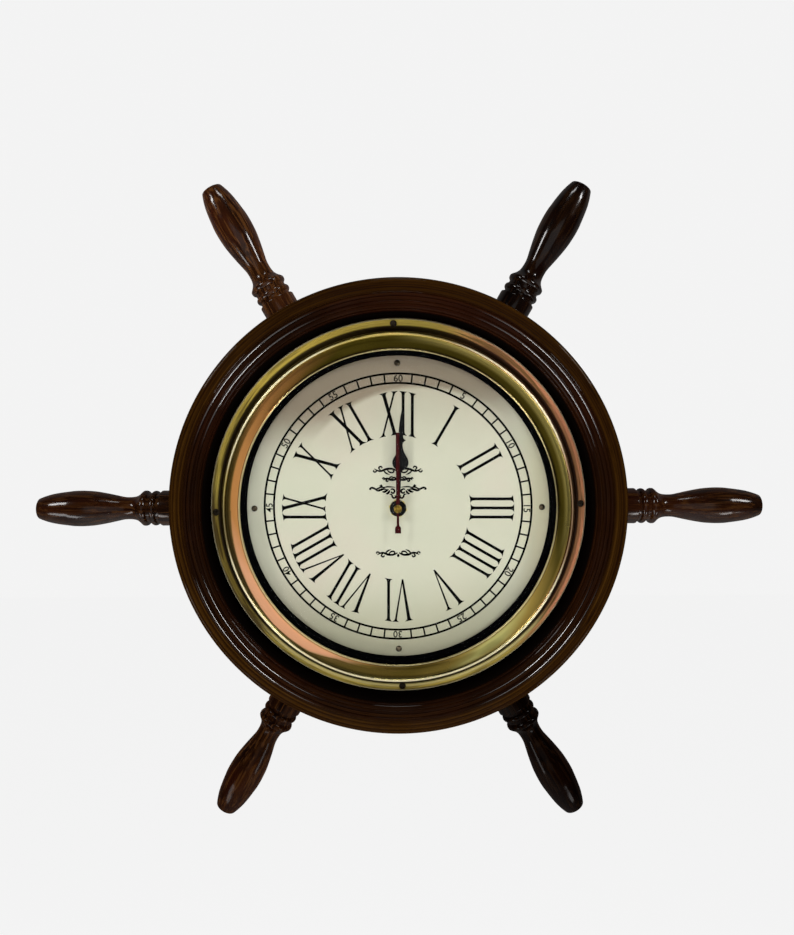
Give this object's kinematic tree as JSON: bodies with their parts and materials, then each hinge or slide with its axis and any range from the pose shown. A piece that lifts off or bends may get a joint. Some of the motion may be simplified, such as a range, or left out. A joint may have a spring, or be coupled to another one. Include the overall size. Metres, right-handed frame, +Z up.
{
  "type": "wall clock",
  "caption": "Wall clock in the form of a ship's wheel: turned wooden rim and handles, brass bezel, glass, printed dial, three coupled hands and a quartz movement.",
  "frame": {"origin": "centre of the round upper end of the keyhole, in the plane of the wall, where the wall screw sits", "axes": "+X to the viewer's right, +Y into the wall, +Z up; the dial faces -Y"},
  "size_m": [0.454, 0.0406, 0.3982],
  "materials": {
    "wood": "dark stained hardwood, gloss varnish",
    "board": "bare fibreboard",
    "steel": "zinc plated",
    "dial": "cream lacquer with black print",
    "brass": "polished and lacquered",
    "black_spacer": "matt black",
    "glass": "clear flat glass",
    "rubber": "moulded",
    "black_hand": "black lacquer",
    "red_hand": "dark red lacquer",
    "white_plastic": "moulded",
    "motor_steel": "plated",
    "copper": "enamelled copper wire",
    "circuit": "green solder mask",
    "cell": "plain printed sleeve",
    "black_plastic": "moulded, fine texture"
  },
  "bodies": {
    "clock": {"wood_rim": "wood", "handle_1": "wood", "handle_2": "wood", "handle_3": "wood", "handle_4": "wood", "handle_5": "wood", "handle_6": "wood", "back_board": "board", "board_screw_1": "steel", "board_screw_2": "steel", "board_screw_3": "steel", "board_screw_4": "steel", "board_screw_5": "steel", "board_screw_6": "steel", "hanger_plate": "steel", "hanger_screw_1": "steel", "hanger_screw_2": "steel", "dial_plate": "dial", "dial_screw_1": "brass", "dial_screw_2": "brass", "dial_screw_3": "brass", "dial_screw_4": "brass", "bezel": "brass", "bezel_screw_1": "brass", "bezel_screw_2": "brass", "bezel_screw_3": "brass", "bezel_screw_4": "brass", "washer": "brass", "hex_nut": "brass", "spacer_ring": "black_spacer", "glass": "glass", "gasket": "rubber", "middle_plate": "white_plastic", "stator": "motor_steel", "quartz_crystal": "motor_steel", "battery_contact_plus": "motor_steel", "battery_contact_minus": "motor_steel", "coil": "copper", "circuit_board": "circuit", "movement_case": "black_plastic", "rear_cover": "black_plastic"},
    "minute": {"minute_hand": "black_hand", "cannon_pinion": "brass", "centre_wheel": "white_plastic"},
    "hour": {"hour_hand": "black_hand", "hour_wheel": "white_plastic"},
    "second": {"second_hand": "red_hand", "second_wheel": "white_plastic"},
    "third": {"third_wheel": "white_plastic"},
    "intermediate": {"intermediate_wheel": "white_plastic"},
    "rotor": {"rotor": "motor_steel"},
    "motion": {"motion_wheel": "white_plastic"},
    "knob": {"setting_knob": "white_plastic"},
    "battery": {"battery": "cell"}
  },
  "joints": [
    {"name": "minute_turn", "type": "hinge", "parent": "clock", "child": "minute", "pos_m": [0, 0, -0.106], "axis": [0, 1, 0], "continuous": true},
    {"name": "hour_turn", "type": "hinge", "parent": "clock", "child": "hour", "pos_m": [0, 0, -0.106], "axis": [0, 1, 0], "continuous": true},
    {"name": "second_turn", "type": "hinge", "parent": "clock", "child": "second", "pos_m": [0, 0, -0.106], "axis": [0, 1, 0], "continuous": true},
    {"name": "third_turn", "type": "hinge", "parent": "clock", "child": "third", "pos_m": [-0.01039, 0, -0.1], "axis": [0, 1, 0], "continuous": true},
    {"name": "intermediate_turn", "type": "hinge", "parent": "clock", "child": "intermediate", "pos_m": [0.00804, 0, -0.09925], "axis": [0, 1, 0], "continuous": true},
    {"name": "rotor_turn", "type": "hinge", "parent": "clock", "child": "rotor", "pos_m": [0.01254, 0, -0.09146], "axis": [0, 1, 0], "continuous": true},
    {"name": "motion_turn", "type": "hinge", "parent": "clock", "child": "motion", "pos_m": [0, 0, -0.0964], "axis": [0, 1, 0], "continuous": true},
    {"name": "knob_turn", "type": "hinge", "parent": "clock", "child": "knob", "pos_m": [0.00369, 0, -0.08625], "axis": [0, 1, 0], "continuous": true},
    {"name": "battery_slide", "type": "slide", "parent": "clock", "child": "battery", "axis": [0, 1, 0], "range_m": [0, 0.02]}
  ],
  "couplings": [
    {"joint": "hour_turn", "follows": "minute_turn", "ratio": 0.083333},
    {"joint": "second_turn", "follows": "minute_turn", "ratio": 60},
    {"joint": "third_turn", "follows": "minute_turn", "ratio": -8},
    {"joint": "intermediate_turn", "follows": "minute_turn", "ratio": -360},
    {"joint": "rotor_turn", "follows": "minute_turn", "ratio": 1800},
    {"joint": "motion_turn", "follows": "minute_turn", "ratio": -0.33333},
    {"joint": "knob_turn", "follows": "minute_turn", "ratio": 0.66667}
  ]
}
